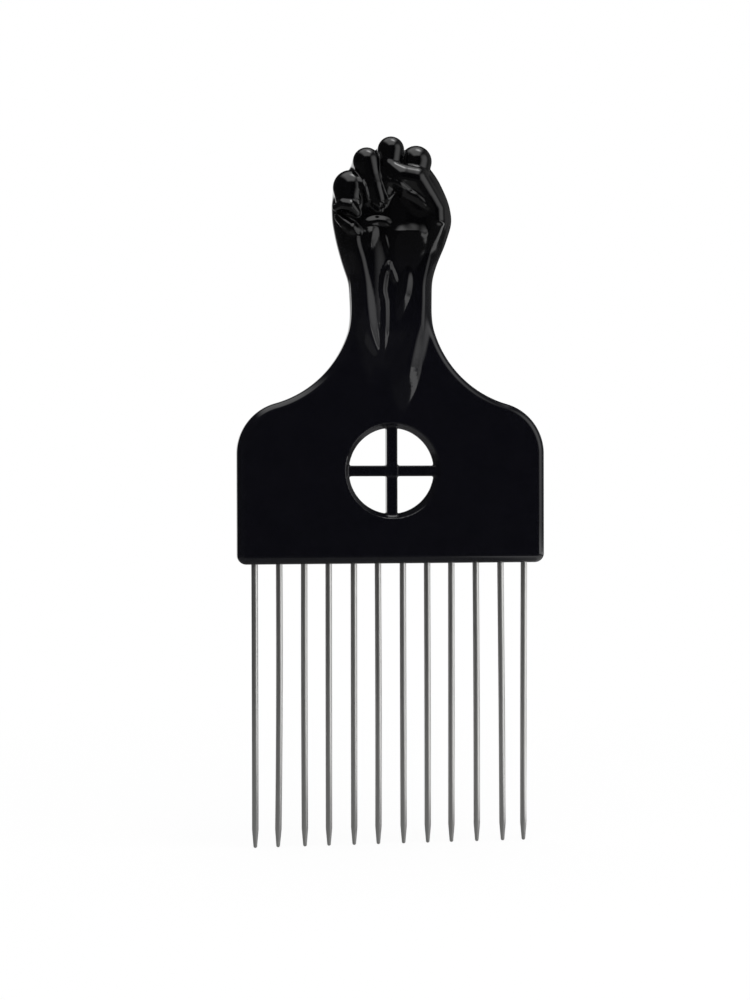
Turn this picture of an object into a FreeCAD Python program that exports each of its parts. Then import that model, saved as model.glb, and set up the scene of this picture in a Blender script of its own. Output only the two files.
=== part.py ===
# Afro pick: a moulded handle with a raised fist, and a row of steel pins for teeth.
# Lengths are in millimetres. +Z runs up through the fist, the palm side faces -Y, and the origin
# is level with the tips of the teeth, under the middle of the plate.
import FreeCAD, Part
import math
import os

import Sketcher

doc = FreeCAD.newDocument("afro_pick")
sheet = doc.addObject("Spreadsheet::Sheet", "sizes")

SIZES = [
    # the flat plate and its outline
    ("plate_width", 74.4),
    ("plate_thickness", 5.6),
    ("plate_corner", 2.2),
    ("plate_edge_bevel", 1.1),
    ("shoulder_radius", 12.5),
    ("sweep_radius", 25.85),
    ("neck_height", 63.2),
    ("neck_width", 19.3),
    ("neck_thickness", 8.8),
    ("neck_inset", 0.45),
    ("wrist_run", 17.0),
    ("wrist_corner", 2.3),
    # the round window and the cross in it
    ("window_width", 20.5),
    ("window_height", 22.2),
    ("window_edge_bevel", 1.1),
    ("bar_width", 2.57),
    ("bar_thickness", 3.2),
    ("bar_edge_round", 0.8),
    ("bar_root", 0.9),
    # the pins that are the teeth, and their bores
    ("tooth_width", 1.56),
    ("tooth_reach", 67.6),
    ("tooth_seat", 9.0),
    ("tooth_margin", 4.365),
    ("tooth_count", 12),
    ("tooth_taper", 4.3),
    ("tooth_point_width", 0.76),
    ("tooth_nose", 0.25),
    ("bore_clearance", 0.02),
    # the clenched fist
    ("fist_width", 28.9),
    ("fist_depth", 17.2),
    ("fist_height", 39.2),
    ("finger_width", 6.6),
    ("hand_corner", 4.1),
]
for row, (alias, value) in enumerate(SIZES, start=1):
    sheet.set(f"A{row}", alias)
    sheet.set(f"B{row}", str(value))
    sheet.setAlias(f"B{row}", alias)
doc.recompute()


def size(alias):
    """The value of one driving dimension."""
    return float(getattr(sheet, alias))


def bind(thing, **expressions):
    """Tie properties of a thing to the sheet; a double underscore stands for a dot."""
    for path, expression in expressions.items():
        thing.setExpression(path.replace("__", "."), expression)


def plane_of(body, role):
    """One of a body's own origin planes."""
    return [f for f in body.Origin.OriginFeatures if f.Role == role][0]


def sketch_on(body, role, name):
    sketch = body.newObject("Sketcher::SketchObject", name)
    sketch.AttachmentSupport = (plane_of(body, role), [""])
    sketch.MapMode = "FlatFace"
    return sketch


def dimension(sketch, name, kind, *places, value, to):
    """A named sketch dimension that starts at a value and follows an expression."""
    index = sketch.addConstraint(Sketcher.Constraint(kind, *places, value))
    sketch.renameConstraint(index, name)
    sketch.setExpression(f"Constraints.{name}", to)


def point(x, y):
    return FreeCAD.Vector(x, y, 0)


def line(start, end):
    return Part.LineSegment(point(*start), point(*end))


def arc(centre, radius, first, last):
    circle = Part.Circle(point(*centre), FreeCAD.Vector(0, 0, 1), radius)
    return Part.ArcOfCircle(circle, first, last)


# The parts of a line or arc in a sketch, and the sketch's own origin and axes.
START, END, CENTRE = range(1, 4)
ORIGIN, ORIGIN_POINT = -START, START
LEVEL_AXIS, UPRIGHT_AXIS = -START, -END

# The plate: half its outline is drawn, padded to the thickness and mirrored. The outline runs
# from the lower edge round a small corner, up the side, over the shoulder and into the neck.
plate = doc.addObject("PartDesign::Body", "plate")
outline = sketch_on(plate, "XZ_Plane", "plate_outline")
half_width = size("plate_width") / 2
half_neck = size("neck_width") / 2 - size("neck_inset")
corner = size("plate_corner")
shoulder = size("shoulder_radius")
sweep = size("sweep_radius")
neck_height = size("neck_height")
shoulder_x = half_width - shoulder
sweep_x = half_neck + sweep
shoulder_z = neck_height - math.sqrt((shoulder + sweep) ** 2 - (sweep_x - shoulder_x) ** 2)
lean = math.atan2(neck_height - shoulder_z, sweep_x - shoulder_x)
neck_top = neck_height + size("neck_inset")
meet = (shoulder_x + shoulder * math.cos(lean), shoulder_z + shoulder * math.sin(lean))
LOWER, CORNER, SIDE, SHOULDER, SWEEP, NECK, TOP, MIDDLE = range(8)
outline.addGeometry([
    line((0, 0), (half_width - corner, 0)),
    arc((half_width - corner, corner), corner, -math.pi / 2, 0),
    line((half_width, corner), (half_width, shoulder_z)),
    arc((shoulder_x, shoulder_z), shoulder, 0, lean),
    arc((sweep_x, neck_height), sweep, math.pi, math.pi + lean),
    line((half_neck, neck_height), (half_neck, neck_top)),
    line((half_neck, neck_top), (0, neck_top)),
    line((0, neck_top), (0, 0)),
], False)
for kind, *places in [
    ("Coincident", LOWER, START, ORIGIN, ORIGIN_POINT),
    ("Coincident", MIDDLE, END, LOWER, START),
    ("Coincident", NECK, END, TOP, START),
    ("Coincident", TOP, END, MIDDLE, START),
    ("Tangent", LOWER, END, CORNER, START),
    ("Tangent", CORNER, END, SIDE, START),
    ("Tangent", SIDE, END, SHOULDER, START),
    ("Tangent", SHOULDER, END, SWEEP, END),
    ("Tangent", SWEEP, START, NECK, START),
    ("Horizontal", LOWER),
    ("Horizontal", TOP),
    ("Vertical", SIDE),
    ("Vertical", NECK),
    ("Vertical", MIDDLE),
]:
    outline.addConstraint(Sketcher.Constraint(kind, *places))
dimension(outline, "half_width", "DistanceX", ORIGIN, ORIGIN_POINT, SIDE, START,
          value=half_width, to="sizes.plate_width / 2")
dimension(outline, "half_neck", "DistanceX", ORIGIN, ORIGIN_POINT, NECK, END,
          value=half_neck, to="sizes.neck_width / 2 - sizes.neck_inset")
dimension(outline, "corner", "Radius", CORNER, value=corner, to="sizes.plate_corner")
dimension(outline, "shoulder", "Radius", SHOULDER, value=shoulder, to="sizes.shoulder_radius")
dimension(outline, "sweep", "Radius", SWEEP, value=sweep, to="sizes.sweep_radius")
dimension(outline, "neck_height", "DistanceY", ORIGIN, ORIGIN_POINT, SWEEP, START,
          value=neck_height, to="sizes.neck_height")
dimension(outline, "neck_top", "DistanceY", NECK, START, NECK, END,
          value=size("neck_inset"), to="sizes.neck_inset")

half_plate = plate.newObject("PartDesign::Pad", "half_plate")
half_plate.Profile = outline
half_plate.Midplane = True
bind(half_plate, Length="sizes.plate_thickness")
outline.Visibility = False
whole_plate = plate.newObject("PartDesign::Mirrored", "whole_plate")
whole_plate.Originals = [half_plate]
whole_plate.MirrorPlane = (plane_of(plate, "YZ_Plane"), [""])
whole_plate.Refine = True
plate.Tip = whole_plate
doc.recompute()


half_thickness = size("plate_thickness") / 2
hair_share = 0.01


def face_edges(shape, wanted):
    """Names of the edges in the plate's two flat faces whose bounding box is a wanted one."""
    names = []
    for number, edge in enumerate(shape.Edges, start=1):
        box = edge.BoundBox
        off_face = abs(abs(box.Center.y) - half_thickness) + box.YLength
        if off_face < half_thickness * hair_share and wanted(box):
            names.append(f"Edge{number}")
    return names


rim = plate.newObject("PartDesign::Chamfer", "plate_rim")
rim.Base = (whole_plate, face_edges(whole_plate.Shape, lambda box: box.Center.z < neck_height))
bind(rim, Size="sizes.plate_edge_bevel")
plate.Tip = rim
doc.recompute()

# The window goes right through, with both its edges bevelled.
window_circle = sketch_on(plate, "XZ_Plane", "window_circle")
window_radius = size("window_width") / 2
window_height = size("window_height")
window_circle.addGeometry(
    Part.Circle(point(0, window_height), FreeCAD.Vector(0, 0, 1), window_radius), False)
window_circle.addConstraint(Sketcher.Constraint("PointOnObject", 0, CENTRE, UPRIGHT_AXIS))
dimension(window_circle, "radius", "Radius", 0, value=window_radius, to="sizes.window_width / 2")
dimension(window_circle, "height", "DistanceY", ORIGIN, ORIGIN_POINT, 0, CENTRE,
          value=window_height, to="sizes.window_height")
window = plate.newObject("PartDesign::Pocket", "window")
window.Profile = window_circle
window.Type = "ThroughAll"
window.Midplane = True
window_circle.Visibility = False
doc.recompute()
window_rim = plate.newObject("PartDesign::Chamfer", "window_rim")
hair = window_radius * hair_share
window_rim.Base = (window, face_edges(
    window.Shape, lambda box: box.Center.isEqual(
        FreeCAD.Vector(0, box.Center.y, window_height), hair)))
bind(window_rim, Size="sizes.window_edge_bevel")
doc.recompute()

# One blind bore for each pin, in a row along the lower edge.
bore_circle = sketch_on(plate, "XY_Plane", "bore_circle")
bore_radius = size("tooth_width") / 2 + size("bore_clearance")
half_row = half_width - size("tooth_margin")
row_length = "sizes.plate_width - 2 * sizes.tooth_margin"
bore_circle.addGeometry(
    Part.Circle(point(-half_row, 0), FreeCAD.Vector(0, 0, 1), bore_radius), False)
bore_circle.addConstraint(Sketcher.Constraint("PointOnObject", 0, CENTRE, LEVEL_AXIS))
dimension(bore_circle, "radius", "Radius", 0, value=bore_radius,
          to="sizes.tooth_width / 2 + sizes.bore_clearance")
dimension(bore_circle, "half_row", "DistanceX", 0, CENTRE, ORIGIN, ORIGIN_POINT,
          value=half_row, to="sizes.plate_width / 2 - sizes.tooth_margin")
bore = plate.newObject("PartDesign::Pocket", "bore")
bore.Profile = bore_circle
bore.Type = "Length"
bore.Reversed = True
bind(bore, Length="sizes.tooth_seat")
bore_circle.Visibility = False
doc.recompute()
bores = plate.newObject("PartDesign::LinearPattern", "bores")
bores.Originals = [bore]
bores.Direction = (bore_circle, ["H_Axis"])
bind(bores, Length=row_length, Occurrences="sizes.tooth_count")
plate.Tip = bores
bind(plate, Placement__Base__z="sizes.tooth_reach")
doc.recompute()

# The cross: one flat bar, turned a quarter for the other, whose ends sink into the window's wall.
cross = doc.addObject("PartDesign::Body", "window_cross")
bar_outline = sketch_on(cross, "XZ_Plane", "bar_outline")
arm = window_radius + size("bar_root")
half_bar = size("bar_width") / 2
corners = [(arm, half_bar), (-arm, half_bar), (-arm, -half_bar), (arm, -half_bar)]
UPPER, LEFT, UNDER, RIGHT = range(4)
bar_outline.addGeometry([line(*pair) for pair in zip(corners, corners[1:] + corners[:1])], False)
for kind, *places in [
    ("Coincident", UPPER, END, LEFT, START),
    ("Coincident", LEFT, END, UNDER, START),
    ("Coincident", UNDER, END, RIGHT, START),
    ("Coincident", RIGHT, END, UPPER, START),
    ("Horizontal", UPPER),
    ("Vertical", LEFT),
    ("Vertical", RIGHT),
    ("Symmetric", UPPER, START, UNDER, START, ORIGIN, ORIGIN_POINT),
]:
    bar_outline.addConstraint(Sketcher.Constraint(kind, *places))
dimension(bar_outline, "length", "DistanceX", UPPER, END, UPPER, START,
          value=arm * 2, to="sizes.window_width + 2 * sizes.bar_root")
dimension(bar_outline, "width", "DistanceY", LEFT, END, LEFT, START,
          value=half_bar * 2, to="sizes.bar_width")
bar = cross.newObject("PartDesign::Pad", "bar")
bar.Profile = bar_outline
bar.Midplane = True
bind(bar, Length="sizes.bar_thickness")
bar_outline.Visibility = False
cross.Tip = bar
doc.recompute()
bar_rim = cross.newObject("PartDesign::Fillet", "bar_rim")
bar_rim.Base = (bar, [
    f"Edge{number}" for number, edge in enumerate(bar.Shape.Edges, start=1)
    if edge.BoundBox.XLength > arm])
bind(bar_rim, Radius="sizes.bar_edge_round")
both_bars = cross.newObject("PartDesign::PolarPattern", "both_bars")
both_bars.Originals = [bar, bar_rim]
both_bars.Axis = (plane_of(cross, "Y_Axis"), [""])
both_bars.Angle = 90
both_bars.Occurrences = 2
cross.Tip = both_bars
bind(cross, Placement__Base__z="sizes.tooth_reach + sizes.window_height")
doc.recompute()

# The fist and wrist. Places are shares of half the fist's width (across, + to the thumb side),
# half its depth (out, - to the palm side) and its height above the neck (up).
neck_level = size("tooth_reach") + neck_height
half_fist = size("fist_width") / 2
half_depth = size("fist_depth") / 2
fist_height = size("fist_height")
half_finger = size("finger_width") / 2


def place(across, out, up):
    return FreeCAD.Vector(across * half_fist, out * half_depth, neck_level + up * fist_height)


corner_limit_share = 0.94


def rounded(middle, half_x, half_y, corner_radius):
    """A closed level outline with flat sides and round corners, limited by its thickness."""
    corner_radius = min(corner_radius, min(half_x, half_y) * corner_limit_share)
    flat_x, flat_y = half_x - corner_radius, half_y - corner_radius
    edges = []
    for quarter in range(4):
        turn = quarter * math.pi / 2
        side_x, side_y = (1, 1, -1, -1)[quarter], (-1, 1, 1, -1)[quarter]
        centre = middle + FreeCAD.Vector(side_x * flat_x, side_y * flat_y, 0)
        spokes = [turn - math.pi / 2, turn - math.pi / 4, turn]
        edges.append(Part.Arc(*[
            centre + FreeCAD.Vector(math.cos(a), math.sin(a), 0) * corner_radius for a in spokes
        ]).toShape())
    sides = [Part.makeLine(a.lastVertex().Point, b.firstVertex().Point)
             for a, b in zip(edges, edges[1:] + edges[:1])]
    return Part.Wire([edge for pair in zip(edges, sides) for edge in pair])


# The wrist rises out of the plate: how far below the neck, width, rise above the plate, and
# whether its corners are the plate's or the hand's.
wrist_shares = [
    (1.00, 0.88, -0.15, "wrist_corner"),
    (0.50, 0.95, 0.60, "wrist_corner"),
    (0.00, 1.00, 1.00, "hand_corner"),
]
# The palm and the back of the hand: up, across, out, half width, half depth.
palm_shares = [
    (0.20, -0.014, 0.03, 0.775, 0.620),
    (0.46, 0.004, 0.07, 0.960, 0.780),
    (0.64, -0.020, 0.10, 0.900, 0.800),
    (0.83, 0.010, 0.10, 0.620, 0.660),
]
wires = []
for drop, width, rise, corner_name in wrist_shares:
    half_y = half_thickness + rise * (size("neck_thickness") / 2 - half_thickness)
    middle = FreeCAD.Vector(0, 0, neck_level - drop * size("wrist_run"))
    wires.append(rounded(middle, width * size("neck_width") / 2, half_y, size(corner_name)))
for up, across, out, width, depth in palm_shares:
    middle = place(across, out, up)
    wires.append(rounded(middle, width * half_fist, depth * half_depth, size("hand_corner")))
palm = doc.addObject("Part::Feature", "palm")
palm.Shape = Part.makeLoft(wires, True, True)
fist_pieces = [palm]

# Joints of the fingers and thumb: across, out, up, and radius as a share of half a finger.
# A root is where the finger leaves the back of the hand, a knuckle is the joint at the top and a
# fold the one below it in front. The heel of the hand is a broad joint of the same kind.
joint_shares = {
    "little_root": (-0.700, 0.540, 0.668, 1.02),
    "little_knuckle": (-0.762, -0.290, 0.706, 1.02),
    "little_fold": (-0.770, -0.590, 0.628, 0.97),
    "ring_root": (-0.375, 0.590, 0.800, 1.06),
    "ring_knuckle": (-0.428, -0.320, 0.832, 1.00),
    "ring_fold": (-0.505, -0.600, 0.640, 1.00),
    "middle_root": (0.010, 0.594, 0.870, 1.06),
    "middle_knuckle": (-0.007, -0.320, 0.916, 1.00),
    "middle_fold": (-0.215, -0.610, 0.650, 1.02),
    "index_root": (0.410, 0.590, 0.822, 1.08),
    "index_knuckle": (0.440, -0.270, 0.850, 1.08),
    "index_fold": (0.370, -0.500, 0.700, 1.05),
    "thumb_root": (0.375, -0.020, 0.140, 1.36),
    "thumb_knuckle": (0.650, -0.230, 0.470, 1.48),
    "thumb_bend": (0.490, -0.500, 0.665, 1.24),
    "thumb_tip": (0.060, -0.575, 0.735, 1.06),
    "heel_bottom": (-0.400, 0.000, 0.120, 1.27),
    "heel_top": (-0.610, -0.170, 0.440, 1.50),
}
seam_turn = FreeCAD.Rotation(FreeCAD.Vector(1, 0, 0), 60)
joints = {}
for name, (across, out, up, share) in joint_shares.items():
    ball = doc.addObject("Part::Sphere", name)
    bind(ball, Radius=f"{share} * sizes.finger_width / 2")
    ball.Placement = FreeCAD.Placement(place(across, out, up), seam_turn)
    joints[name] = (ball.Placement.Base, share * half_finger)
    fist_pieces.append(ball)


def bone(name, start, start_radius, end, end_radius):
    """A cone between two joints, a hair slimmer than they are."""
    run = end - start
    piece = doc.addObject("Part::Feature", name)
    if math.isclose(start_radius, end_radius):
        piece.Shape = Part.makeCylinder(start_radius * slim_share, run.Length, start, run)
    else:
        piece.Shape = Part.makeCone(
            start_radius * slim_share, end_radius * slim_share, run.Length, start, run)
    fist_pieces.append(piece)


slim_share = 0.975
for first, last in [
    ("little_root", "little_knuckle"), ("little_knuckle", "little_fold"),
    ("ring_root", "ring_knuckle"), ("ring_knuckle", "ring_fold"),
    ("middle_root", "middle_knuckle"), ("middle_knuckle", "middle_fold"),
    ("index_root", "index_knuckle"), ("index_knuckle", "index_fold"),
    ("thumb_root", "thumb_knuckle"), ("thumb_knuckle", "thumb_bend"), ("thumb_bend", "thumb_tip"),
    ("heel_bottom", "heel_top"),
]:
    bone(f"{first}_to_{last}", *joints[first], *joints[last])

# The fingertips tuck into the palm, and the bones of the hand's back fan out from the wrist.
tuck_share = (0.10, 0.55, -0.09)
tip_share = 0.86
wrist_share = (0.40, 0.20, 0.22)
wrist_end_share = 0.92
for finger in ("little", "ring", "middle", "index"):
    fold, fold_radius = joints[f"{finger}_fold"]
    tip = fold + FreeCAD.Vector(
        tuck_share[0] * half_fist, tuck_share[1] * half_depth, tuck_share[2] * fist_height)
    bone(f"{finger}_fold_to_tip", fold, fold_radius, tip, fold_radius * tip_share)
    root, root_radius = joints[f"{finger}_root"]
    wrist = place(root.x / half_fist * wrist_share[0], wrist_share[1], wrist_share[2])
    bone(f"{finger}_root_to_wrist", root, root_radius, wrist, root_radius * wrist_end_share)
doc.recompute()

handle = doc.addObject("Part::MultiFuse", "handle")
handle.Label = "handle"
handle.Shapes = [plate, cross] + fist_pieces
handle.Refine = True
doc.recompute()
subparts = [handle]

# The pins: round wire with a drawn-down point at the tip, which ends in a short blunt nose.
tooth_radius = size("tooth_width") / 2
point_radius = size("tooth_point_width") / 2
nose = size("tooth_nose")
taper = size("tooth_taper")
tooth_length = size("tooth_reach") + size("tooth_seat")
NOSE, TAPER, SHANK, BURIED_END, AXIS = range(5)
tooth_corners = [
    (0, 0), (point_radius, nose), (tooth_radius, taper), (tooth_radius, tooth_length),
    (0, tooth_length),
]
for number in range(int(size("tooth_count"))):
    tooth = doc.addObject("PartDesign::Body", f"tooth_{number + 1:02d}")
    tooth.Label = f"tooth_{number + 1:02d}"
    profile = sketch_on(tooth, "XZ_Plane", "tooth_profile")
    profile.addGeometry(
        [line(*pair) for pair in zip(tooth_corners, tooth_corners[1:] + tooth_corners[:1])], False)
    for kind, *places in [
        ("Coincident", NOSE, START, ORIGIN, ORIGIN_POINT),
        ("Coincident", NOSE, END, TAPER, START),
        ("Coincident", TAPER, END, SHANK, START),
        ("Coincident", SHANK, END, BURIED_END, START),
        ("Coincident", BURIED_END, END, AXIS, START),
        ("Coincident", AXIS, END, NOSE, START),
        ("Vertical", SHANK),
        ("Horizontal", BURIED_END),
        ("Vertical", AXIS),
    ]:
        profile.addConstraint(Sketcher.Constraint(kind, *places))
    for name, kind, edge, value, to in [
        ("nose", "DistanceY", NOSE, nose, "sizes.tooth_nose"),
        ("point", "DistanceX", NOSE, point_radius, "sizes.tooth_point_width / 2"),
        ("taper", "DistanceY", TAPER, taper, "sizes.tooth_taper"),
        ("radius", "DistanceX", TAPER, tooth_radius, "sizes.tooth_width / 2"),
        ("length", "DistanceY", SHANK, tooth_length, "sizes.tooth_reach + sizes.tooth_seat"),
    ]:
        dimension(profile, name, kind, ORIGIN, ORIGIN_POINT, edge, END, value=value, to=to)
    turned = tooth.newObject("PartDesign::Revolution", "turned_pin")
    turned.Profile = profile
    turned.ReferenceAxis = (profile, ["V_Axis"])
    turned.Angle = 360
    profile.Visibility = False
    tooth.Tip = turned
    bind(tooth, Placement__Base__x=(
        f"({row_length}) * ({number} / (sizes.tooth_count - 1) - 1 / 2)"))
    subparts.append(tooth)
doc.recompute()

for thing in doc.Objects:
    if "Invalid" in thing.State or "Error" in thing.State:
        raise RuntimeError(f"{thing.Name} did not build: {thing.State}")
for part in subparts:
    if part.Shape.isNull() or not part.Shape.isValid() or len(part.Shape.Solids) != 1:
        raise RuntimeError(f"{part.Label} is not one sound solid")

os.makedirs("parts", exist_ok=True)
for part in subparts:
    part.Shape.exportStep(f"parts/{part.Label}.step")
box = handle.Shape.BoundBox
print("handle", [round(v, 3) for v in (box.XMin, box.XMax, box.YMin, box.YMax, box.ZMin, box.ZMax)])
print("handle volume", round(handle.Shape.Volume, 1), "faces", len(handle.Shape.Faces))
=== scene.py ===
import itertools
import math

import bmesh
import bpy
import numpy as np
from mathutils import Matrix, Vector


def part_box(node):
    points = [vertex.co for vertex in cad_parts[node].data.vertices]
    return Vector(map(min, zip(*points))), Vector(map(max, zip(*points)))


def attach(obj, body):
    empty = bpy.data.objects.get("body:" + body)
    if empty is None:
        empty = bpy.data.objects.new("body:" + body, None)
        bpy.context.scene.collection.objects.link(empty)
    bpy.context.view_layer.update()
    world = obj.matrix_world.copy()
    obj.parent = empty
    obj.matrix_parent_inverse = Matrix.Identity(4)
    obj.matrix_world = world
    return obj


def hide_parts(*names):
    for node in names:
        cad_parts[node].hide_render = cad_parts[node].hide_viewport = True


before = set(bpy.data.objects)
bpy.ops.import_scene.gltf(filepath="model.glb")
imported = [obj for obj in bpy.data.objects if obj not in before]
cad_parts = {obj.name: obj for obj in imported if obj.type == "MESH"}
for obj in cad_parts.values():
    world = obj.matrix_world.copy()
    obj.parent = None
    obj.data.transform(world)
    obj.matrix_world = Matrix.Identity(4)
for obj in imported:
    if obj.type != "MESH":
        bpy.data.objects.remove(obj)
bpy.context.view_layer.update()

# The handle: one injection moulding in black ABS, polished in the mould to a high gloss. A flat
# plate with rounded edges and a crossed round window runs up through a neck into a raised fist.
# Heights are in millimetres above the plate's lower edge, and the palm faces -Y.
handle_low, handle_high = [1000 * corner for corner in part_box("handle")]
plate_foot = handle_low.z
half_plate = (handle_high.x - handle_low.x) / 2
half_thickness = 2.8
rim_round = 1.8
foot_corner = 2.2
shoulder_radius = 12.5
sweep_radius = 25.85
neck_height = 63.2
half_neck = 9.2
shoulder_x = half_plate - shoulder_radius
sweep_x = half_neck + sweep_radius
shoulder_z = neck_height - math.sqrt(
    (shoulder_radius + sweep_radius) ** 2 - (sweep_x - shoulder_x) ** 2)
lean = math.atan2(neck_height - shoulder_z, sweep_x - shoulder_x)
neck_overlap = 12.0
plate_top = neck_height + neck_overlap


def near_line(x, z, start, end):
    """Distance from points to a straight stretch of the outline."""
    run_x, run_z = end[0] - start[0], end[1] - start[1]
    share = ((x - start[0]) * run_x + (z - start[1]) * run_z) / (run_x ** 2 + run_z ** 2)
    share = np.clip(share, 0, 1)
    return np.hypot(x - start[0] - share * run_x, z - start[1] - share * run_z)


def near_arc(x, z, centre, radius, first, last):
    """Distance from points to a round stretch of the outline, between two directions."""
    turn = np.mod(np.arctan2(z - centre[1], x - centre[0]) - first + math.pi / 2, 2 * math.pi)
    turn = np.clip(turn + first - math.pi / 2, first, last)
    return np.hypot(x - centre[0] - radius * np.cos(turn), z - centre[1] - radius * np.sin(turn))


def outline_distance(x, z):
    """How far points lie outside the plate's outline, below zero inside it."""
    x = np.abs(x)
    corner_x = half_plate - foot_corner
    distance = np.minimum.reduce([
        near_line(x, z, (-half_plate, 0), (corner_x, 0)),
        near_arc(x, z, (corner_x, foot_corner), foot_corner, -math.pi / 2, 0),
        near_line(x, z, (half_plate, foot_corner), (half_plate, shoulder_z)),
        near_arc(x, z, (shoulder_x, shoulder_z), shoulder_radius, 0, lean),
        near_arc(x, z, (sweep_x, neck_height), sweep_radius, math.pi, math.pi + lean),
        near_line(x, z, (half_neck, neck_height), (half_neck, plate_top)),
        near_line(x, z, (half_neck, plate_top), (-half_neck, plate_top)),
    ])
    in_corner = np.sqrt(np.clip(foot_corner ** 2 - (foot_corner - z) ** 2, 0, None))
    in_shoulder = np.sqrt(np.clip(shoulder_radius ** 2 - (z - shoulder_z) ** 2, 0, None))
    in_sweep = np.sqrt(np.clip(sweep_radius ** 2 - (neck_height - z) ** 2, 0, None))
    meet_z = shoulder_z + shoulder_radius * math.sin(lean)
    half_width = np.select(
        [z < 0, z < foot_corner, z < shoulder_z, z < meet_z, z < neck_height, z < plate_top],
        [-1, corner_x + in_corner, half_plate, shoulder_x + in_shoulder, sweep_x - in_sweep,
         half_neck], -1)
    return np.where(x < half_width, -distance, distance)


def rounded_slab(flat, deep, rounding):
    """Distance to a slab with rounded edges, from the distances past its outline and its face."""
    flat, deep = flat + rounding, deep + rounding
    outside = np.hypot(np.maximum(flat, 0), np.maximum(deep, 0))
    return np.minimum(np.maximum(flat, deep), 0) + outside - rounding


def melt(first, second, softness):
    """Joins two forms, with a soft hollow of about that size where they meet."""
    share = np.clip(0.5 + 0.5 * (second - first) / softness, 0, 1)
    return second + (first - second) * share - softness * share * (1 - share)


window_z = 22.2
window_radius = 10.25
window_flare = 1.1
window_edge = 0.15
bar_half_width = 1.285
bar_half_depth = 1.6
bar_round = 0.35
bar_fillet = 0.5


def plate_distance(x, y, z):
    plate = rounded_slab(outline_distance(x, z), np.abs(y) - half_thickness, rim_round)
    from_middle = np.hypot(x, z - window_z)
    flare = math.atan2(window_flare, half_thickness)
    cone = (window_radius - from_middle) * math.cos(flare) + np.abs(y) * math.sin(flare)
    plate = -melt(-plate, -cone, window_edge)
    reach = from_middle - window_radius - bar_fillet
    depth = np.abs(y) - bar_half_depth
    upright = rounded_slab(np.abs(x) - bar_half_width, depth, bar_round)
    level = rounded_slab(np.abs(z - window_z) - bar_half_width, depth, bar_round)
    cross = np.maximum(melt(upright, level, bar_fillet), reach)
    return np.where(from_middle < window_radius + 3 * bar_fillet,
                    melt(plate, cross, bar_fillet), plate)


def limb(x, y, z, start, end):
    """Distance to a round limb between two joints, each given as x, y, z and radius."""
    *start_place, start_radius = start
    *end_place, end_radius = end
    run = Vector(end_place) - Vector(start_place)
    along = run.normalized()
    x, y, z = x - start[0], y - start[1], z - start[2]
    rise = x * along.x + y * along.y + z * along.z
    out = np.sqrt(np.maximum(x * x + y * y + z * z - rise * rise, 0))
    slope = (start_radius - end_radius) / run.length
    flank = math.sqrt(1 - slope ** 2)
    part = flank * rise - slope * out
    middle = flank * out + slope * rise - start_radius
    first = np.hypot(out, rise) - start_radius
    last = np.hypot(out, rise - run.length) - end_radius
    return np.where(part < 0, first, np.where(part > flank * run.length, last, middle))


def cushion(x, y, z, centre, halves, squareness, lean_degrees=0):
    """Distance to a cushion with the given half sizes, leaning to the thumb side."""
    turn = math.radians(lean_degrees)
    x, y, z = x - centre[0], y - centre[1], z - centre[2]
    x, z = x * math.cos(turn) - z * math.sin(turn), x * math.sin(turn) + z * math.cos(turn)
    shares = [np.abs(offset) / half for offset, half in zip((x, y, z), halves)]
    size = sum(share ** squareness for share in shares) ** (1 / squareness)
    slope = np.sqrt(sum((share ** (squareness - 1) / half) ** 2
                        for share, half in zip(shares, halves)))
    return (size - 1) * size ** (squareness - 1) / np.maximum(slope, 1e-6)


# The wrist and palm at each height: left side, right side, palm face and back. They run on level
# past both ends, so that the easing has something to work on there.
hand_levels = [
    (34, -3.0, 3.0, -0.6, 0.6),
    (42, -5.8, 5.8, -2.0, 2.0),
    (49, -8.0, 8.0, -3.2, 3.2),
    (56, -9.2, 9.2, -4.1, 4.1),
    (62, -9.7, 9.7, -4.5, 4.5),
    (67, -10.0, 9.8, -4.7, 5.0),
    (72, -11.7, 11.3, -5.0, 5.7),
    (77, -13.0, 13.4, -5.2, 6.6),
    (82, -13.9, 15.0, -5.2, 7.3),
    (87, -14.0, 14.3, -4.8, 7.6),
    (92, -12.0, 12.0, -4.2, 7.4),
    (96, -8.6, 9.2, -2.6, 6.4),
    (99, -4.0, 5.0, 0.4, 4.6),
]
level_step = 0.25
level_blur = 12
level_spare = 10
fine_levels = np.arange(
    hand_levels[0][0] - level_spare, hand_levels[-1][0] + level_spare, level_step)
levels = list(zip(*hand_levels))
blur = np.hanning(2 * level_blur + 1) / np.hanning(2 * level_blur + 1).sum()
sides = [np.convolve(np.interp(fine_levels, levels[0], side), blur, "same") for side in levels[1:]]
palm_share = 0.62
palm_squareness = 2.2
palm_fullness = 1.4
palm_edge = 0.5


def palm_distance(x, y, z):
    """The wrist, palm and back of the hand: oval across, swelling with height, its face flat."""
    left, right, face, back = [np.interp(z, fine_levels, side) for side in sides]
    half_x = (right - left) / 2
    widest = face + (back - face) * palm_share
    half_y = np.where(y < widest, palm_fullness * (widest - face), back - widest)
    across = np.abs(x - (left + right) / 2) / half_x
    out = np.abs(y - widest) / half_y
    n = palm_squareness
    size = (across ** n + out ** n) ** (1 / n)
    slope = np.hypot(across ** (n - 1) / half_x, out ** (n - 1) / half_y)
    body = (size - 1) * size ** (n - 1) / np.maximum(slope, 1e-6)
    body = -melt(-body, y - face, palm_edge)
    ends = np.maximum(hand_levels[0][0] - z, z - hand_levels[-1][0])
    return np.maximum(body, ends)


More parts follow.
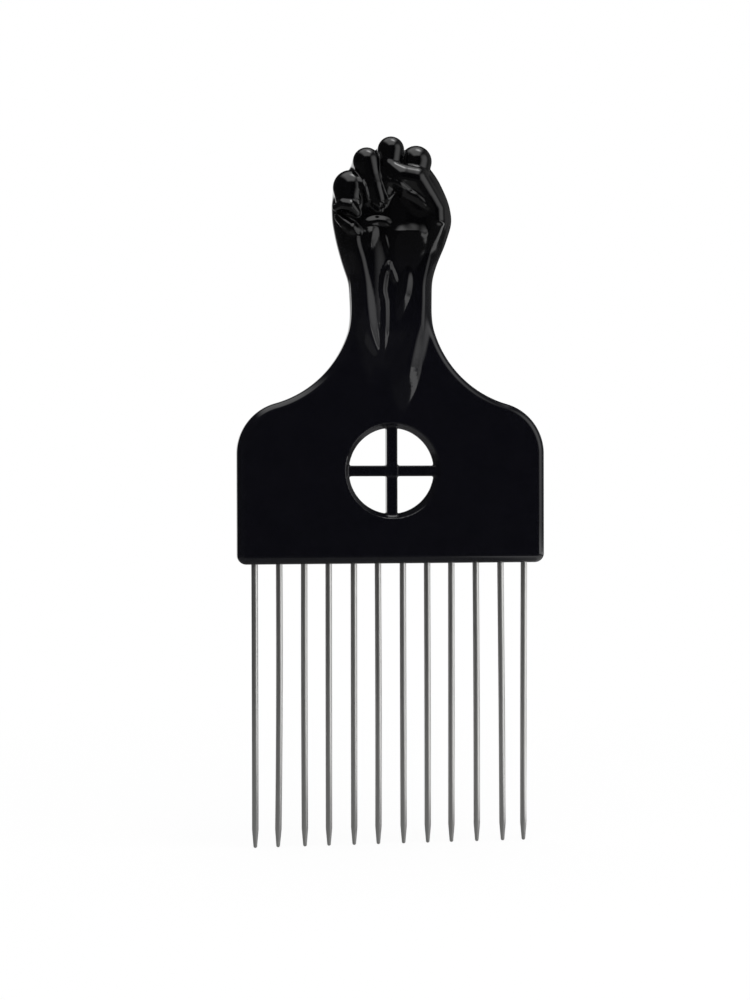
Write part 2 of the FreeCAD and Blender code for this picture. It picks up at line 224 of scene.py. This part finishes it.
# Joints from the back of the hand, over the knuckle and down to the tucked tip: x, y, z, radius.
fingers = {
    "little": [(-9.8, 4.4, 88.6, 3.7), (-10.1, -2.4, 89.5, 4.15), (-10.4, -3.2, 87.0, 3.4),
               (-10.2, -3.3, 85.0, 2.6)],
    "ring": [(-5.9, 5.1, 94.3, 3.4), (-6.4, -3.9, 95.6, 3.25), (-5.6, -4.1, 92.2, 2.9),
             (-4.9, -4.6, 89.6, 2.8), (-3.9, -4.9, 86.4, 2.2)],
    "middle": [(-0.1, 5.1, 96.8, 3.4), (-0.5, -3.5, 98.5, 3.15), (-1.4, -4.2, 91.0, 2.8),
               (-2.2, -3.9, 88.0, 2.0), (-2.8, -3.6, 85.0, 1.4)],
    "index": [(5.4, 5.1, 95.0, 3.6), (5.7, -2.5, 96.0, 3.75), (5.0, -3.2, 90.5, 3.2)],
}
thumb = [(6.7, -1.4, 71.0, 2.0), (10.1, -4.3, 82.0, 2.6), (10.0, -4.4, 84.2, 2.6),
         (8.4, -4.7, 86.9, 2.6), (5.2, -5.3, 91.4, 3.0), (1.8, -5.5, 91.9, 3.0),
         (-1.2, -5.9, 94.5, 1.2)]
folds = [
    [(-13.6, -3.4, 84.6, 0.9), (-12.2, -5.3, 85.2, 1.3), (-10.6, -6.0, 84.8, 1.3),
     (-9.0, -5.6, 83.2, 0.9)],
    [(-12.8, -2.8, 82.4, 1.2), (-11.6, -3.9, 81.0, 1.4), (-10.1, -4.7, 79.8, 1.4),
     (-8.4, -4.7, 78.7, 1.0)],
]
thumb_side = [(4.0, 2.2, 66.0, 2.4), (5.9, 1.1, 79.0, 6.7), (6.3, 0.6, 82.6, 7.5),
              (4.6, 1.6, 88.0, 6.8)]
thumb_face = -5.8
thumb_edge = 0.45

# The ball of the thumb, and the pad under the folded thumb: centre, half sizes, squareness and
# lean. The face of the ball slants with height.
thumb_ball = (3.2, -1.3, 74.6), (5.2, 5.0, 11.2), 2.8, 6
ball_heights, ball_slants = (66, 79, 85), (-2.4, 0.5, -1.6)
thumb_pad = (5.2, -2.6, 86.4), (3.6, 4.0, 5.6), 3.0, -34

# How softly each form of the hand runs into the others.
joint_softness = 0.1
between_fingers = 0.45
onto_palm = 0.7
ball_softness = 0.8
side_softness = 2.0
pad_softness = 0.5
fold_softness = 0.6
wrist_softness = 1.5

# Skin folds, tendons and the edges of the palm's cushions, as soft rolls on the front. Each is
# a line of x, z, half width and height, and fades out at its ends.
rolls = [
    [(-8.2, 92.0, 0.9, 0), (-7.5, 89.0, 1.1, 0.9), (-6.7, 86.2, 1.1, 0.8), (-6.3, 84.4, 0.9, 0)],
    [(-1.6, 91.2, 0.9, 0), (-0.4, 90.1, 1.3, 0.6), (2.0, 88.5, 1.4, 0.8), (4.6, 87.2, 1.4, 0.8),
     (6.6, 85.7, 1.2, 0.5), (7.6, 84.6, 0.9, 0)],
    [(-4.2, 84.9, 1.0, 0.1), (-3.8, 84.4, 1.3, 0.7), (-3.3, 83.9, 1.0, 0.1)],
    [(-7.2, 80.8, 1.0, 0), (-5.4, 81.3, 1.4, 0.5), (-3.8, 81.5, 1.4, 0.5), (-1.8, 81.2, 1.4, 0.5),
     (-0.2, 80.6, 1.0, 0)],
    [(-5.2, 80.6, 1.6, 0), (-5.4, 79.0, 2.2, 0.7), (-5.9, 76.8, 1.8, 0.6), (-6.2, 74.6, 1.0, 0)],
    [(-9.9, 80.6, 1.2, 0), (-9.9, 78.4, 1.8, 0.6), (-9.5, 75.0, 2.0, 0.7), (-8.6, 72.6, 1.9, 0.6),
     (-7.9, 69.6, 1.8, 0.5), (-7.5, 66.4, 2.2, 0.5), (-7.4, 63.0, 2.8, 0.7), (-6.9, 58.6, 2.8, 0.7),
     (-6.0, 54.6, 2.4, 0.6), (-4.7, 51.8, 1.8, 0.35), (-3.5, 49.4, 1.2, 0.08),
     (-3.0, 48.2, 1.0, 0)],
    [(-6.6, 80.0, 3.0, 0), (-6.2, 74.5, 5.2, 0.8), (-6.2, 66.0, 5.2, 0.8), (-6.0, 58.0, 5.0, 0.8),
     (-5.0, 53.0, 3.5, 0.35), (-4.4, 49.0, 2.4, 0)],
    [(-2.6, 78.6, 0.7, 0), (-2.2, 77.2, 0.9, 0.25), (-1.7, 75.2, 0.9, 0.25), (-1.5, 73.4, 0.7, 0)],
    [(-0.8, 72.4, 0.8, 0), (-1.4, 70.8, 1.2, 0.5), (-2.1, 69.4, 1.2, 0.5), (-2.7, 66.3, 1.1, 0.4),
     (-2.7, 64.2, 1.1, 0.4), (-2.0, 62.7, 1.1, 0.4), (-2.0, 55.6, 1.1, 0.4), (-2.4, 52.6, 1.0, 0.3),
     (-2.8, 49.4, 0.8, 0)],
    [(-1.2, 71.8, 0.8, 0), (-0.7, 69.8, 1.1, 0.5), (0.0, 68.0, 1.1, 0.45), (0.6, 66.6, 0.8, 0)],
    [(3.4, 70.0, 1.2, 0), (3.0, 67.4, 1.8, 0.6), (2.5, 64.4, 2.0, 0.7), (1.7, 61.6, 1.5, 0.5),
     (1.1, 58.6, 1.0, 0)],
    [(5.6, 57.0, 1.2, 0), (4.6, 51.6, 2.4, 0.5), (3.4, 47.2, 3.8, 1.0), (2.7, 43.4, 3.8, 0.95),
     (2.5, 40.0, 2.8, 0.5), (2.5, 37.4, 1.6, 0.1), (2.5, 35.6, 1.0, 0)],
]


def eased(line, pieces=4):
    """The same line in short pieces, with its corners and widths eased."""
    joints = np.arange(len(line))
    short = np.arange(0, len(line) - 1 + 1e-9, 1 / pieces)
    weights = np.hanning(2 * pieces + 1) / np.hanning(2 * pieces + 1).sum()
    parts = [np.pad(np.interp(short, joints, part), pieces, "edge") for part in zip(*line)]
    return np.stack([np.convolve(part, weights, "valid") for part in parts], axis=1)


eased_rolls = [eased(line) for line in rolls]


def roll_height(x, z):
    """How far the rolls stand out of the front at each place."""
    height = np.zeros(np.shape(x))
    for line in eased_rolls:
        nearest, roll = np.inf, 0
        for (x_0, z_0, wide_0, rise_0), (x_1, z_1, wide_1, rise_1) in zip(line, line[1:]):
            run_x, run_z = x_1 - x_0, z_1 - z_0
            share = ((x - x_0) * run_x + (z - z_0) * run_z) / (run_x ** 2 + run_z ** 2)
            share = np.clip(share, 0, 1)
            away = np.hypot(x - x_0 - share * run_x, z - z_0 - share * run_z)
            flat = np.clip(1 - (away / (wide_0 + share * (wide_1 - wide_0))) ** 2, 0, None)
            rise = (rise_0 + share * (rise_1 - rise_0)) * flat ** 2
            roll = np.where(away < nearest, rise, roll)
            nearest = np.minimum(away, nearest)
        height = height + roll
    return height


def chain_distance(x, y, z, joints):
    """Distance to a bent limb through all its joints."""
    chain = None
    for start, end in zip(joints, joints[1:]):
        bone = limb(x, y, z, start, end)
        chain = bone if chain is None else melt(chain, bone, joint_softness)
    return chain


def hand_distance(x, y, z):
    """The hand: palm, fingers, the thumb with its side and pad, and the folds."""
    slant = np.interp(z, ball_heights, ball_slants)
    ball = cushion(x, y + slant, z, *thumb_ball)
    palm = melt(palm_distance(x, y, z), ball, ball_softness)
    fist = chain_distance(x, y, z, fingers["little"])
    for name in ("ring", "middle", "index"):
        fist = melt(fist, chain_distance(x, y, z, fingers[name]), between_fingers)
    hand = melt(palm, fist, onto_palm)
    side = -melt(-chain_distance(x, y, z, thumb_side), y - thumb_face, thumb_edge)
    hand = melt(hand, side, side_softness)
    hand = melt(hand, cushion(x, y, z, *thumb_pad), pad_softness)
    for fold in (*folds, thumb):
        hand = melt(hand, chain_distance(x, y, z, fold), fold_softness)
    return hand


hand_reach = 17.0
hand_foot = 33.0
rolls_start = -0.5
rolls_run = 1.5
rolls_band = 2.5


def handle_distance(x, y, z):
    """The whole moulding. The hand is only worked out where it can reach."""
    x, y, z, whole = [np.array(part) for part in np.broadcast_arrays(
        x, y, z, plate_distance(x, y, z))]
    near = (np.abs(x) < hand_reach) & (z > hand_foot)
    x, y, z = x[near], y[near], z[near]
    body = melt(whole[near], hand_distance(x, y, z), wrist_softness)
    front = (y < rolls_start) & (np.abs(body) < rolls_band)
    share = np.clip((rolls_start - y[front]) / rolls_run, 0, 1)
    body[front] -= roll_height(x[front], z[front]) * share
    whole[near] = body
    return whole


def skin(distance, low, high, step):
    """A net of quads round the solid that a distance describes, laid exactly on its surface."""
    axes = [np.arange(start, end + step, step) for start, end in zip(low, high)]
    field = distance(axes[0][:, None, None], axes[1][None, :, None], axes[2][None, None, :])
    inside = field < 0
    shape = [count - 1 for count in field.shape]
    full = np.zeros(shape, np.int8)
    for i, j, k in itertools.product((0, 1), repeat=3):
        full += inside[i:i + shape[0], j:j + shape[1], k:k + shape[2]]
    cells = np.argwhere((full > 0) & (full < 8))
    number = np.full(shape, -1)
    number[tuple(cells.T)] = np.arange(len(cells))
    total, hits = np.zeros((len(cells), 3)), np.zeros(len(cells))
    quads = []
    for axis in range(3):
        along = np.eye(3, dtype=int)[axis]
        first, second = [np.eye(3, dtype=int)[(axis + turn) % 3] for turn in (1, 2)]
        for corner in (0 * along, first, second, first + second):
            start = cells + corner
            value = field[tuple(start.T)]
            change = value - field[tuple((start + along).T)]
            crossed = inside[tuple(start.T)] != inside[tuple((start + along).T)]
            share = np.where(crossed, value / np.where(crossed, change, 1), 0)
            total += np.where(crossed[:, None], start + share[:, None] * along, 0)
            hits += crossed
        head = [slice(0, -1) if i == axis else slice(None) for i in range(3)]
        tail = [slice(1, None) if i == axis else slice(None) for i in range(3)]
        edges = np.argwhere(inside[tuple(head)] != inside[tuple(tail)])
        around = [number[tuple((edges - corner).T)]
                  for corner in (0 * along, first, first + second, second)]
        ring = np.stack(around, axis=1)
        leaving = inside[tuple(edges.T)]
        quads.append(np.where(leaving[:, None], ring, ring[:, ::-1]))
    places = np.array(low) + step * total / hits[:, None]

    # Each point then slides along the slope until it lies on the surface.
    for _ in range(3):
        value = distance(*places.T)
        slope = slope_of(distance, places, step / 10)
        shift = (value / np.maximum((slope ** 2).sum(1), 0.2))[:, None] * slope
        places -= np.clip(shift, -step / 2, step / 2)
    return places, np.concatenate(quads)


def slope_of(distance, places, reach):
    """The direction in which a distance grows fastest at each place."""
    return np.stack([
        (distance(*(places + reach * axis).T) - distance(*(places - reach * axis).T)) / (2 * reach)
        for axis in np.eye(3)], axis=1)


# The margin keeps the flat faces between the levels of the net.
skin_step = 0.36
margin = 2.6 * skin_step
skin_half_depth = 10.2
skin_top = 104.0
handle_places, handle_quads = skin(
    handle_distance,
    (-half_plate - margin, -skin_half_depth, -margin),
    (half_plate + margin, skin_half_depth, skin_top), skin_step)
handle_mesh = bpy.data.meshes.new("moulded_handle")
handle_mesh.from_pydata(handle_places, [], handle_quads.tolist())

# The flat faces need only a few large polygons.
flat_facing = 0.9999999
flat_angle = math.radians(0.05)
shell = bmesh.new()
shell.from_mesh(handle_mesh)
shell.normal_update()
flat_edges = [
    edge for edge in shell.edges
    if all(abs(face.normal.y) > flat_facing for face in edge.link_faces)]
flat_corners = sorted({v for e in flat_edges for v in e.verts}, key=lambda v: v.index)
bmesh.ops.dissolve_limit(shell, angle_limit=flat_angle, verts=flat_corners, edges=flat_edges)
bmesh.ops.triangulate(shell, faces=[face for face in shell.faces if len(face.verts) > 4])
shell.to_mesh(handle_mesh)
shell.free()
places = np.array([vertex.co for vertex in handle_mesh.vertices])
normals = slope_of(handle_distance, places, skin_step / 4)
normals /= np.linalg.norm(normals, axis=1)[:, None]
handle_mesh.shade_smooth()
handle_mesh.normals_split_custom_set_from_vertices(normals)
handle_mesh.transform(Matrix.Translation((0, 0, plate_foot / 1000)) @ Matrix.Scale(0.001, 4))
moulded_handle = bpy.data.objects.new("moulded_handle", handle_mesh)
bpy.context.scene.collection.objects.link(moulded_handle)
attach(moulded_handle, "root")
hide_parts("handle")


def linear(colour):
    """An sRGB hex colour as the linear values that Blender works in."""
    parts = [int(colour[i:i + 2], 16) / 255 for i in (0, 2, 4)]
    return [c / 12.92 if c <= 0.04045 else ((c + 0.055) / 1.055) ** 2.4 for c in parts] + [1.0]


def node(tree, kind, inputs=(), **settings):
    """Adds a node with its settings. Each input takes a value or another node's output."""
    new = tree.nodes.new(kind)
    for name, value in settings.items():
        setattr(new, name, value)
    for place, value in dict(inputs).items():
        if isinstance(value, bpy.types.NodeSocket):
            tree.links.new(value, new.inputs[place])
        else:
            new.inputs[place].default_value = value
    return new


# Gloss black ABS: the mould was polished, so only a faint waviness about 14 mm long and hazy
# patches of handling wear about 4 mm across break up the reflections. Above the wrist the fist is
# coloured a deeper black than the plate, as painted shade.
gloss_abs = bpy.data.materials.new("gloss_moulded_abs")
gloss_abs.use_nodes = True
tree = gloss_abs.node_tree
shader = tree.nodes["Principled BSDF"]
place = node(tree, "ShaderNodeTexCoord").outputs["Object"]
wave = node(tree, "ShaderNodeTexNoise", {"Vector": place, "Scale": 70, "Detail": 1})
haze = node(tree, "ShaderNodeTexNoise", {"Vector": place, "Scale": 240, "Detail": 4})
haze = node(tree, "ShaderNodeMapRange", {
    "Value": haze.outputs[0], "From Min": 0.3, "From Max": 0.7}).outputs[0]
tint = node(tree, "ShaderNodeMix", {
    0: haze, 6: linear("09090E"), 7: linear("0B0B10")}, data_type="RGBA").outputs[2]
height = node(tree, "ShaderNodeSeparateXYZ", {0: place}).outputs["Z"]
# Painted shade: from 0.125 to 0.145 m up, the colour fades to the deeper black 030304 on the fist.
painted_shade_on_fist = node(tree, "ShaderNodeMapRange", {
    "Value": height, "From Min": 0.125, "From Max": 0.145}).outputs[0]
tint = node(tree, "ShaderNodeMix", {
    0: painted_shade_on_fist, 6: tint, 7: linear("030304")}, data_type="RGBA").outputs[2]
rough = node(tree, "ShaderNodeMapRange", {"Value": haze, "To Min": 0.07, "To Max": 0.10})
bump = node(tree, "ShaderNodeBump", {
    "Height": wave.outputs[0], "Strength": 1, "Distance": 0.00001})
tree.links.new(tint, shader.inputs["Base Color"])
tree.links.new(rough.outputs[0], shader.inputs["Roughness"])
tree.links.new(bump.outputs[0], shader.inputs["Normal"])
shader.inputs["IOR"].default_value = 1.54
handle_mesh.materials.append(gloss_abs)

# The pins: twelve lengths of drawn steel wire, each drawn down to a blunt rounded point and
# pressed into a blind bore in the plate's lower edge. All sizes in millimetres.
pin_tree = bpy.data.node_groups.new("drawn_pin", "GeometryNodeTree")
pin_sizes = {"Reach": 67.6, "Buried length": 9.0, "Wire radius": 0.78, "Point radius": 0.45,
             "Taper length": 4.3, "Seat across": 0.0, "Lean": 0.0, "Bow": 0.0}
for name in pin_sizes:
    pin_tree.interface.new_socket(name, in_out="INPUT", socket_type="NodeSocketFloat")
pin_tree.interface.new_socket("Pin", in_out="OUTPUT", socket_type="NodeSocketGeometry")
pin_in = node(pin_tree, "NodeGroupInput").outputs


# The wire's line: its points crowd towards the tip, and it hangs aside from its seat by its lean
# and bow, which grow towards the tip.
line = node(pin_tree, "GeometryNodeCurvePrimitiveLine", {"End": (0, 0, 1)})
points = node(pin_tree, "GeometryNodeResampleCurve", {"Curve": line.outputs[0], "Count": 40})
share = node(pin_tree, "GeometryNodeSplineParameter").outputs["Factor"]
crowded = node(pin_tree, "ShaderNodeMath", {0: share, 1: 3.2}, operation="POWER").outputs[0]
whole = node(pin_tree, "ShaderNodeMath", {
    0: pin_in["Reach"], 1: pin_in["Buried length"]}, operation="ADD").outputs[0]
height = node(pin_tree, "ShaderNodeMath", {0: whole, 1: crowded}, operation="MULTIPLY").outputs[0]
hang = node(pin_tree, "ShaderNodeMapRange", {
    "Value": height, "From Max": pin_in["Reach"], "To Min": 1, "To Max": 0}).outputs[0]
bowed = node(pin_tree, "ShaderNodeMath", {
    0: hang, 1: pin_in["Bow"], 2: pin_in["Lean"]}, operation="MULTIPLY_ADD").outputs[0]
across = node(pin_tree, "ShaderNodeMath", {
    0: hang, 1: bowed, 2: pin_in["Seat across"]}, operation="MULTIPLY_ADD").outputs[0]
axis = node(pin_tree, "ShaderNodeCombineXYZ", {"X": across, "Z": height})
shaped = node(pin_tree, "GeometryNodeSetPosition", {
    "Geometry": points.outputs[0], "Position": axis.outputs[0]})

# Its radius: a half ball at the tip, then the drawn-down taper, then the full wire.
place = node(pin_tree, "GeometryNodeInputPosition").outputs[0]
level = node(pin_tree, "ShaderNodeSeparateXYZ", {0: place}).outputs["Z"]
below = node(pin_tree, "ShaderNodeMapRange", {
    "Value": level, "From Max": pin_in["Point radius"], "To Min": 1, "To Max": 0}).outputs[0]
angle = node(pin_tree, "ShaderNodeMath", {0: below}, operation="ARCCOSINE").outputs[0]
round_share = node(pin_tree, "ShaderNodeMath", {0: angle}, operation="SINE").outputs[0]
swell = node(pin_tree, "ShaderNodeMath", {
    0: pin_in["Wire radius"], 1: pin_in["Point radius"]}, operation="SUBTRACT").outputs[0]
drawn = node(pin_tree, "ShaderNodeMapRange", {
    "Value": level, "From Min": pin_in["Point radius"], "From Max": pin_in["Taper length"],
    "To Max": swell}).outputs[0]
radius = node(pin_tree, "ShaderNodeMath", {
    0: round_share, 1: pin_in["Point radius"], 2: drawn}, operation="MULTIPLY_ADD").outputs[0]
circle = node(pin_tree, "GeometryNodeCurvePrimitiveCircle", {"Resolution": 24, "Radius": 1})
wire = node(pin_tree, "GeometryNodeCurveToMesh", {
    "Curve": shaped.outputs[0], "Profile Curve": circle.outputs[0], "Scale": radius,
    "Fill Caps": True})
closed = node(pin_tree, "GeometryNodeMergeByDistance", {
    "Geometry": wire.outputs[0], "Distance": 0.001})
smooth = node(pin_tree, "GeometryNodeSetShadeSmooth", {"Geometry": closed.outputs[0]})
metres = node(pin_tree, "GeometryNodeTransform", {
    "Geometry": smooth.outputs[0], "Scale": (0.001, 0.001, 0.001)})
real = node(pin_tree, "GeometryNodeRealizeInstances", {0: metres.outputs[0]})

# Drawn stainless steel: fine lines run along the wire, and the drawn-down point is a little
# duller. The real lines are too fine to show, so they are drawn about three times as coarse.
drawn_steel = bpy.data.materials.new("drawn_steel_wire")
drawn_steel.use_nodes = True
tree = drawn_steel.node_tree
shader = tree.nodes["Principled BSDF"]
place = node(tree, "ShaderNodeTexCoord").outputs["Object"]
lengthwise = node(tree, "ShaderNodeMapping", {"Vector": place, "Scale": (5000, 5000, 60)})
noise = node(tree, "ShaderNodeTexNoise", {
    "Vector": lengthwise.outputs[0], "Scale": 1, "Detail": 2}).outputs[0]
lines = node(tree, "ShaderNodeMapRange", {
    "Value": noise, "From Min": 0.3, "From Max": 0.7}).outputs[0]
tint = node(tree, "ShaderNodeMix", {
    0: lines, 6: linear("D0D0CE"), 7: linear("E2E2E0")}, data_type="RGBA").outputs[2]
height = node(tree, "ShaderNodeSeparateXYZ", {0: place}).outputs["Z"]
near_point = node(tree, "ShaderNodeMapRange", {
    "Value": height, "From Min": 0.002, "From Max": 0.006, "To Min": 0.15, "To Max": 0})
rough = node(tree, "ShaderNodeMapRange", {"Value": lines, "To Min": 0.30, "To Max": 0.38})
rough = node(tree, "ShaderNodeMath", {
    0: rough.outputs[0], 1: near_point.outputs[0]}, operation="ADD")
bump = node(tree, "ShaderNodeBump", {"Height": noise, "Strength": 0.5, "Distance": 0.00001})
tree.links.new(tint, shader.inputs["Base Color"])
tree.links.new(rough.outputs[0], shader.inputs["Roughness"])
tree.links.new(bump.outputs[0], shader.inputs["Normal"])
shader.inputs["Metallic"].default_value = 1
steel = node(pin_tree, "GeometryNodeSetMaterial", {
    "Geometry": real.outputs[0], "Material": drawn_steel})
node(pin_tree, "NodeGroupOutput", {"Pin": steel.outputs[0]})

# Where each pin enters the plate, and how it leans and bows on the way to its tip. The wires
# aren't quite true, and the photo shows each one's own lean.
pin_lines = [
    (-32.99, 0.08, -0.12), (-27.12, 0.24, -0.70), (-21.13, -0.23, 0.23), (-15.24, -0.14, 0.04),
    (-9.17, -0.07, 0.00), (-3.34, 0.30, -0.34), (2.73, 0.03, 0.02), (8.64, 0.21, -0.18),
    (14.57, 0.00, -0.09), (20.57, 0.50, -0.33), (26.66, 0.70, -0.24), (32.50, -0.38, 0.16)]
for number, (seat_across, lean_aside, bow_aside) in enumerate(pin_lines, 1):
    blank = bpy.data.objects.new("blank", bpy.data.meshes.new("blank"))
    bpy.context.scene.collection.objects.link(blank)
    drawing = blank.modifiers.new("drawn_pin", "NODES")
    drawing.node_group = pin_tree
    own = {"Seat across": seat_across, "Lean": lean_aside, "Bow": bow_aside}
    for socket in pin_tree.interface.items_tree:
        if socket.in_out == "INPUT":
            drawing[socket.identifier] = float(own.get(socket.name, pin_sizes[socket.name]))
    made = blank.evaluated_get(bpy.context.evaluated_depsgraph_get())
    pin = bpy.data.objects.new(f"steel_pin_{number:02d}", bpy.data.meshes.new_from_object(made))
    bpy.data.objects.remove(blank)
    bpy.context.scene.collection.objects.link(pin)
    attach(pin, "root")
    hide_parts(f"tooth_{number:02d}")

# The studio floor: pale paper that the camera sees white, with the object's soft shadow on it.
# Shiny surfaces see a painted reflection on it instead, a glow set by place: white behind the
# object and close at its right, grey round about it, and dark far off.
left, right, front, back = -1.2, 1.2, -1.0, 1.6
floor_mesh = bpy.data.meshes.new("floor")
floor_mesh.from_pydata(
    [(left, front, 0), (right, front, 0), (right, back, 0), (left, back, 0)], [], [(0, 1, 2, 3)])
floor = bpy.data.objects.new("floor", floor_mesh)
bpy.context.scene.collection.objects.link(floor)


def kinds_of_ray(tree):
    """Whether a ray comes from the camera, and whether it comes off a shiny or clear surface."""
    seen = node(tree, "ShaderNodeLightPath").outputs
    mirrored = node(tree, "ShaderNodeMath", {
        0: seen["Is Glossy Ray"], 1: seen["Is Transmission Ray"]},
        operation="ADD", use_clamp=True).outputs[0]
    return seen["Is Camera Ray"], mirrored


paper = bpy.data.materials.new("white_paper")
paper.use_nodes = True
tree = paper.node_tree
shader = tree.nodes["Principled BSDF"]
shader.inputs["Base Color"].default_value = linear("F2F2F2")
shader.inputs["Roughness"].default_value = 0.9
place = node(tree, "ShaderNodeTexCoord").outputs["Object"]
across, along = node(tree, "ShaderNodeSeparateXYZ", {0: place}).outputs[:2]
away = node(tree, "ShaderNodeVectorMath", {0: place}, operation="LENGTH").outputs["Value"]
clear = node(tree, "ShaderNodeMapRange", {
    "Value": away, "From Min": 0.05, "From Max": 0.3, "To Min": 0.9, "To Max": 1},
    interpolation_type="SMOOTHSTEP").outputs[0]
near = node(tree, "ShaderNodeMapRange", {
    "Value": away, "From Min": 0.2, "From Max": 0.28, "To Min": 1, "To Max": 0},
    interpolation_type="SMOOTHSTEP").outputs[0]
grey = node(tree, "ShaderNodeMapRange", {
    "Value": near, "To Min": 0.055, "To Max": 0.19}).outputs[0]
to_right = node(tree, "ShaderNodeMapRange", {
    "Value": across, "From Min": 0.03, "From Max": 0.075, "To Max": near},
    interpolation_type="SMOOTHSTEP").outputs[0]
beside = node(tree, "ShaderNodeMapRange", {
    "Value": along, "From Min": 0.05, "From Max": 0.1, "To Min": to_right, "To Max": 0},
    interpolation_type="SMOOTHSTEP").outputs[0]
aside = node(tree, "ShaderNodeMath", {0: across}, operation="ABSOLUTE").outputs[0]
behind = node(tree, "ShaderNodeMath", {
    0: aside, 1: -3.0, 2: along}, operation="MULTIPLY_ADD").outputs[0]
behind = node(tree, "ShaderNodeMapRange", {
    "Value": behind, "From Min": 0.15, "From Max": 0.3},
    interpolation_type="SMOOTHSTEP").outputs[0]
bright = node(tree, "ShaderNodeMath", {0: beside, 1: behind}, operation="MAXIMUM").outputs[0]
bright = node(tree, "ShaderNodeMath", {0: bright, 1: grey}, operation="MAXIMUM").outputs[0]
from_camera, mirrored = kinds_of_ray(tree)
# Painted reflection: to shiny surfaces the floor glows white, grey or dark by place, though it is
# no lamp.
painted_reflection_glow = node(tree, "ShaderNodeMix", {0: mirrored, 2: 1.0, 3: bright}).outputs[0]
glow = node(tree, "ShaderNodeMix", {0: from_camera, 2: mirrored, 3: clear}).outputs[0]
white = node(tree, "ShaderNodeEmission", {"Color": (1, 1, 1, 1), "Strength": painted_reflection_glow})
mixed = node(tree, "ShaderNodeMixShader", {0: glow, 1: shader.outputs[0], 2: white.outputs[0]})
tree.links.new(mixed.outputs[0], tree.nodes["Material Output"].inputs["Surface"])
floor_mesh.materials.append(paper)

# The room: white to the camera, and white straight behind the object for shiny surfaces. They
# see it dark in front and overhead, a little less dark at the left, and dim at the far right.
# All other rays find an even fill.
world = bpy.data.worlds.new("studio")
bpy.context.scene.world = world
world.use_nodes = True
tree = world.node_tree
toward = node(tree, "ShaderNodeSeparateXYZ", {
    0: node(tree, "ShaderNodeTexCoord").outputs["Generated"]})
behind = node(tree, "ShaderNodeMapRange", {
    "Value": toward.outputs["Y"], "From Min": 0.93, "From Max": 0.985},
    interpolation_type="SMOOTHSTEP").outputs[0]
to_left = node(tree, "ShaderNodeMapRange", {
    "Value": toward.outputs["X"], "From Min": 0.1, "From Max": -0.1,
    "To Min": 0.01, "To Max": 0.03}, interpolation_type="SMOOTHSTEP").outputs[0]
to_right = node(tree, "ShaderNodeMapRange", {
    "Value": toward.outputs["X"], "From Min": 0.3, "From Max": 0.8, "To Max": 0.14},
    interpolation_type="SMOOTHSTEP").outputs[0]
bright = node(tree, "ShaderNodeMath", {0: behind, 1: to_left}, operation="MAXIMUM").outputs[0]
bright = node(tree, "ShaderNodeMath", {0: bright, 1: to_right}, operation="MAXIMUM").outputs[0]
from_camera, mirrored = kinds_of_ray(tree)
fill = node(tree, "ShaderNodeMix", {0: mirrored, 2: 0.6, 3: bright}).outputs[0]
level = node(tree, "ShaderNodeMix", {0: from_camera, 2: fill, 3: 1.0}).outputs[0]
tree.links.new(level, tree.nodes["Background"].inputs["Strength"])
tree.nodes["Background"].inputs["Color"].default_value = (1, 1, 1, 1)


def softbox(name, place, aim, width, height, radiance, edge):
    """A softbox that fades to its edges. Its brightness is what a camera looking into it sees."""
    light = bpy.data.lights.new(name, "AREA")
    light.shape = "RECTANGLE"
    light.size, light.size_y = width, height
    light.energy = radiance * math.pi * width * height
    light.use_nodes = True
    tree = light.node_tree
    own_place = node(tree, "ShaderNodeNewGeometry").outputs["Parametric"]
    across = node(tree, "ShaderNodeSeparateXYZ", {0: own_place}).outputs
    lit = 1.0
    for side in across[:2]:
        other = node(tree, "ShaderNodeMath", {0: 1.0, 1: side}, operation="SUBTRACT").outputs[0]
        inward = node(tree, "ShaderNodeMath", {0: side, 1: other}, operation="MINIMUM").outputs[0]
        lit = node(tree, "ShaderNodeMapRange", {
            "Value": inward, "From Max": edge, "To Max": lit},
            interpolation_type="SMOOTHSTEP").outputs[0]
    tree.links.new(lit, tree.nodes["Emission"].inputs["Strength"])
    lamp = bpy.data.objects.new(name, light)
    bpy.context.scene.collection.objects.link(lamp)
    lamp.location = place
    lamp.rotation_euler = (Vector(place) - Vector(aim)).to_track_quat("Z", "Y").to_euler()


# A wide dim softbox overhead with a brighter small one in it, a tall one at the right, and a
# long low one at the right that the pins show along their right sides.
softbox("overhead_softbox", (-0.05, -0.3, 0.86), (-0.05, -0.3, 0), 1.2, 1.8, 1.5, 0.3)
softbox("overhead_core", (0.14, -0.08, 0.84), (0, 0, 0.15), 0.36, 0.5, 5.5, 0.5)
softbox("right_softbox", (0.62, -0.42, 0.32), (0, 0, 0.14), 1.0, 1.1, 1.0, 0.4)
softbox("low_softbox", (0.34, -0.14, 0.03), (0, -0.14, 0.03), 0.8, 0.06, 1.4, 0.1)

# The camera stands in front, a little to the left and at the height of the plate. Its place,
# lens and turn were fitted to the plate's corners and the pins' tips in the photo.
bpy.context.scene.view_settings.view_transform = "Standard"
camera_data = bpy.data.cameras.new("camera")
camera = bpy.data.objects.new("camera", camera_data)
bpy.context.scene.collection.objects.link(camera)
bpy.context.scene.camera = camera
camera_data.sensor_fit = "VERTICAL"
camera_data.sensor_height = 24
camera_data.lens = 44.92
camera.location = (-0.06838, -0.44454, 0.08902)
forward = Vector((0.14331, 0.98958, -0.01379))
upward = Vector((0.00439, 0.01330, 0.99990))
sideways = forward.cross(upward).normalized()
camera.rotation_euler = Matrix(
    (sideways, sideways.cross(forward), -forward)).transposed().to_euler()
